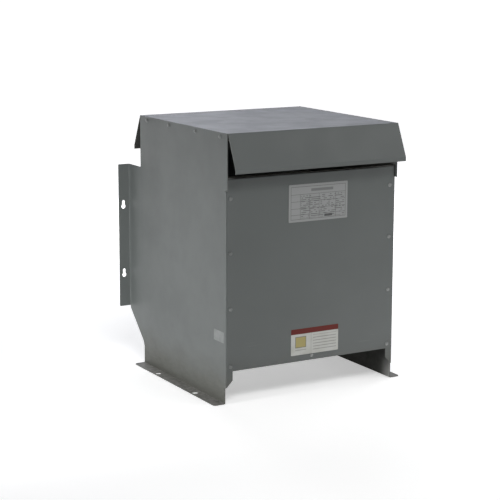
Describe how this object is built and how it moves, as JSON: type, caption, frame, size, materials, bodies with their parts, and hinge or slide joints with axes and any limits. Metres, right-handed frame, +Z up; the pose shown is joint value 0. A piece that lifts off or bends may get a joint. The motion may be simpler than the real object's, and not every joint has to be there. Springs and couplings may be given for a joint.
{
  "type": "dry-type power transformer",
  "caption": "Ventilated dry-type power transformer in a grey sheet-steel enclosure with visored roof vents, bolt-down feet, keyholed wall flanges and a core with windings inside.",
  "frame": {"origin": "on the floor plane under the feet, at the centre of the four anchor holes", "axes": "+Z up, -Y out of the front panel, +Y towards the wall flanges, +X to the right seen from the front"},
  "size_m": [0.5698, 0.5979, 0.686],
  "materials": {
    "enclosure_paint": "grey powder coat, satin",
    "galvanised_steel": "galvanised sheet",
    "core_steel": "varnished electrical-steel laminations",
    "winding_wrap": "varnished insulation wrap over the conductor",
    "insulation_board": "glass-polyester board",
    "pad_rubber": "black neoprene",
    "nameplate_metal": "satin, plain ruled grid",
    "label_vinyl": "plain vinyl sticker",
    "side_label_vinyl": "plain grey vinyl sticker"
  },
  "bodies": {
    "root": {"left_side_panel": "enclosure_paint", "right_side_panel": "enclosure_paint", "front_panel": "enclosure_paint", "rear_panel": "enclosure_paint", "roof_cover": "enclosure_paint", "left_rear_corner_angle": "enclosure_paint", "right_rear_corner_angle": "enclosure_paint", "front_base_rail": "enclosure_paint", "rear_base_rail": "enclosure_paint", "left_core_support": "galvanised_steel", "right_core_support": "galvanised_steel", "front_left_isolation_pad": "pad_rubber", "front_right_isolation_pad": "pad_rubber", "rear_left_isolation_pad": "pad_rubber", "rear_right_isolation_pad": "pad_rubber", "lower_front_clamp": "galvanised_steel", "lower_rear_clamp": "galvanised_steel", "upper_front_clamp": "galvanised_steel", "upper_rear_clamp": "galvanised_steel", "laminated_core": "core_steel", "left_inner_winding": "winding_wrap", "center_inner_winding": "winding_wrap", "right_inner_winding": "winding_wrap", "left_outer_winding": "winding_wrap", "center_outer_winding": "winding_wrap", "right_outer_winding": "winding_wrap", "duct_spacers": "insulation_board", "lower_coil_blocks": "insulation_board", "upper_coil_blocks": "insulation_board", "nameplate": "nameplate_metal", "front_label": "label_vinyl", "side_label": "side_label_vinyl"}
  },
  "joints": []
}
